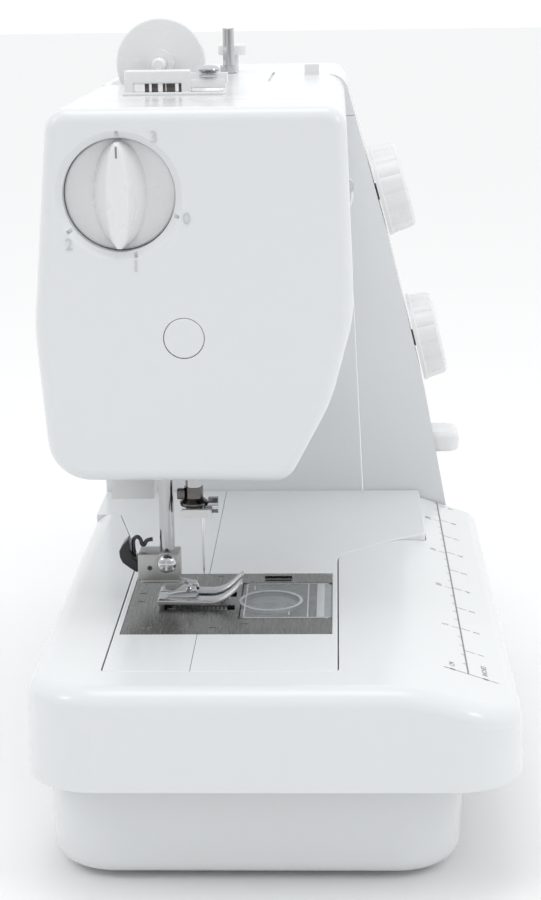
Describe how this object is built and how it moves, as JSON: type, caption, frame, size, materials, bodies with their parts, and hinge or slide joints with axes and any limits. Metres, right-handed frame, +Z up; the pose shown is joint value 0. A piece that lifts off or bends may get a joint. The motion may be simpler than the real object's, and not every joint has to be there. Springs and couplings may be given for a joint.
{
  "type": "sewing machine",
  "caption": "Domestic free-arm sewing machine with slide-off extension table, horizontal rotary hook, clip-on foot, stitch dials, reverse lever, handwheel and top spool holder.",
  "frame": {"origin": "centre of the footprint, on the surface under the rubber feet", "axes": "+X from the sewing end to the handwheel, -Y towards the operator, +Z up"},
  "size_m": [0.407, 0.178, 0.3021],
  "materials": {
    "white_plastic": "moulded, satin gloss",
    "dial_plastic": "moulded, gloss",
    "chrome": "polished",
    "steel": "brushed",
    "dark_steel": "blued",
    "clear_cover": "clear moulding, tinted by age",
    "black_plastic": "matt",
    "rubber": "matt",
    "frame_metal": "die cast",
    "brass": "sintered bush",
    "bobbin_plastic": "clear moulding",
    "nylon": "moulded nylon",
    "lamp_glass": "frosted"
  },
  "bodies": {
    "frame": {"base_tray": "white_plastic", "rubber_feet": "rubber", "bed_cover_front": "white_plastic", "bed_cover_rear": "white_plastic", "arm_bottom_cover": "white_plastic", "rear_cover": "white_plastic", "front_panel": "white_plastic", "top_cover": "white_plastic", "face_cover": "white_plastic", "face_cap": "white_plastic", "casing_screws": "steel", "bed_frame": "frame_metal", "arm_frame": "frame_metal", "shaft_bushes": "brass", "needle_plate": "chrome", "motor": "dark_steel", "power_inlet": "black_plastic", "spool_pin": "black_plastic", "thread_guides": "dial_plastic", "winder_tension_disc": "chrome", "winder_stopper": "dial_plastic", "lamp_socket": "brass", "lamp_bulb": "lamp_glass", "drive_belt": "rubber", "timing_belt": "rubber", "bobbin_case": "black_plastic", "presser_spring": "steel"},
    "table": {"extension_table": "white_plastic"},
    "upper_shaft": {"main_shaft": "steel", "main_pulley": "nylon", "handwheel": "white_plastic"},
    "lower_shaft": {"lower_shaft": "steel"},
    "hook": {"rotary_hook": "steel"},
    "bobbin": {"bobbin": "bobbin_plastic"},
    "motor_rotor": {"motor_pulley": "steel"},
    "needle_bar": {"needle_bar": "chrome", "needle_clamp": "steel", "needle_clamp_screw": "chrome", "needle": "chrome", "needle_thread_guide": "dial_plastic"},
    "needle_link": {"needle_link": "steel"},
    "take_up": {"take_up_lever": "chrome"},
    "presser_bar": {"presser_bar": "chrome", "foot_holder": "steel", "foot_holder_screw": "chrome"},
    "foot_release": {"foot_release_lever": "black_plastic"},
    "presser_foot": {"presser_foot": "chrome"},
    "lifter": {"presser_lifter": "black_plastic"},
    "feed": {"feed_dog": "steel"},
    "bobbin_cover": {"bobbin_cover": "clear_cover"},
    "cover_release": {"cover_release": "black_plastic"},
    "pressure_dial": {"pressure_dial": "dial_plastic"},
    "tension_wheel": {"tension_wheel": "dial_plastic"},
    "upper_dial": {"upper_dial": "dial_plastic", "pattern_cam": "nylon"},
    "lower_dial": {"lower_dial": "dial_plastic"},
    "reverse_lever": {"reverse_lever": "dial_plastic"},
    "power_switch": {"power_switch": "black_plastic"},
    "spool_cap": {"spool_cap": "dial_plastic"},
    "winder_spindle": {"winder_spindle": "chrome"}
  },
  "joints": [
    {"name": "handwheel_spin", "type": "hinge", "parent": "frame", "child": "upper_shaft", "pos_m": [0, 0.033, 0.222], "axis": [1, 0, 0], "continuous": true},
    {"name": "lower_shaft_spin", "type": "hinge", "parent": "frame", "child": "lower_shaft", "pos_m": [0, 0.0143, 0.054], "axis": [1, 0, 0], "continuous": true},
    {"name": "hook_spin", "type": "hinge", "parent": "frame", "child": "hook", "pos_m": [-0.1015, 0.0035, 0.068], "axis": [0, 0, 1], "continuous": true},
    {"name": "motor_spin", "type": "hinge", "parent": "frame", "child": "motor_rotor", "pos_m": [0.14, 0.0445, 0.092], "axis": [1, 0, 0], "continuous": true},
    {"name": "needle_bar_slide", "type": "slide", "parent": "frame", "child": "needle_bar", "axis": [0, 0, 1], "range_m": [-0.026, 0]},
    {"name": "needle_link_swing", "type": "hinge", "parent": "needle_bar", "child": "needle_link", "pos_m": [-0.0947, 0.033, 0.19], "axis": [1, 0, 0], "range_deg": [-18, 18]},
    {"name": "take_up_swing", "type": "hinge", "parent": "frame", "child": "take_up", "pos_m": [-0.076, 0.006, 0.222], "axis": [1, 0, 0], "range_deg": [0, 45]},
    {"name": "lifter_lever", "type": "hinge", "parent": "frame", "child": "lifter", "pos_m": [-0.076, 0.06, 0.15], "axis": [0, -1, 0], "range_deg": [0, 45]},
    {"name": "presser_bar_slide", "type": "slide", "parent": "frame", "child": "presser_bar", "axis": [0, 0, 1], "range_m": [0, 0.007], "deforming": ["presser_spring"]},
    {"name": "foot_release", "type": "hinge", "parent": "presser_bar", "child": "foot_release", "pos_m": [-0.102, 0.0576, 0.0945], "axis": [1, 0, 0], "range_deg": [0, 12], "stiffness_Nm_per_rad": 0.05, "springref_deg": -5.73},
    {"name": "foot_tilt", "type": "hinge", "parent": "presser_bar", "child": "presser_foot", "pos_m": [-0.102, 0.0355, 0.0862], "axis": [1, 0, 0], "range_deg": [-6, 6]},
    {"name": "feed_stroke", "type": "slide", "parent": "frame", "child": "feed", "axis": [0, 1, 0], "range_m": [-0.0025, 0.0025]},
    {"name": "bobbin_spin", "type": "hinge", "parent": "frame", "child": "bobbin", "pos_m": [-0.1015, 0.0035, 0.07], "axis": [0, 0, 1], "continuous": true},
    {"name": "bobbin_cover_lift", "type": "slide", "parent": "frame", "child": "bobbin_cover", "axis": [0, 0, 1], "range_m": [0, 0.025]},
    {"name": "cover_release_slide", "type": "slide", "parent": "frame", "child": "cover_release", "axis": [1, 0, 0], "range_m": [0, 0.003], "stiffness_N_per_m": 300, "springref_m": -0.002},
    {"name": "pressure_dial_turn", "type": "hinge", "parent": "frame", "child": "pressure_dial", "pos_m": [-0.125, 0.055, 0.244], "axis": [1, 0, 0], "range_deg": [-250, 0]},
    {"name": "tension_turn", "type": "hinge", "parent": "frame", "child": "tension_wheel", "pos_m": [-0.045, -0.021, 0.233], "axis": [1, 0, 0], "range_deg": [-150, 150]},
    {"name": "upper_dial_turn", "type": "hinge", "parent": "frame", "child": "upper_dial", "pos_m": [0.09, -0.04195, 0.219], "axis": [0, -0.9655, 0.2603], "range_deg": [-135, 135]},
    {"name": "lower_dial_turn", "type": "hinge", "parent": "frame", "child": "lower_dial", "pos_m": [0.09, -0.05926, 0.149], "axis": [0, -0.9736, 0.2283], "range_deg": [-135, 135]},
    {"name": "reverse_press", "type": "hinge", "parent": "frame", "child": "reverse_lever", "pos_m": [0.09, -0.06034, 0.1], "axis": [1, 0, 0], "range_deg": [0, 12], "stiffness_Nm_per_rad": 0.8, "springref_deg": -17.19},
    {"name": "switch_rock", "type": "hinge", "parent": "frame", "child": "power_switch", "pos_m": [0.1748, 0.062, 0.095], "axis": [0, 1, 0], "range_deg": [0, 16]},
    {"name": "spool_cap_slide", "type": "slide", "parent": "frame", "child": "spool_cap", "axis": [-1, 0, 0], "range_m": [0, 0.014]},
    {"name": "winder_spin", "type": "hinge", "parent": "frame", "child": "winder_spindle", "pos_m": [0.086, 0.0265, 0.285], "axis": [0, 0, 1], "continuous": true},
    {"name": "table_slide", "type": "slide", "parent": "frame", "child": "table", "axis": [-1, 0, 0], "range_m": [0, 0.25]}
  ],
  "couplings": [
    {"joint": "lower_shaft_spin", "follows": "handwheel_spin", "ratio": 1},
    {"joint": "hook_spin", "follows": "handwheel_spin", "ratio": -2},
    {"joint": "motor_spin", "follows": "handwheel_spin", "ratio": 4},
    {"joint": "lifter_lever", "follows": "presser_bar_slide", "rad_per_m": 112.19}
  ]
}
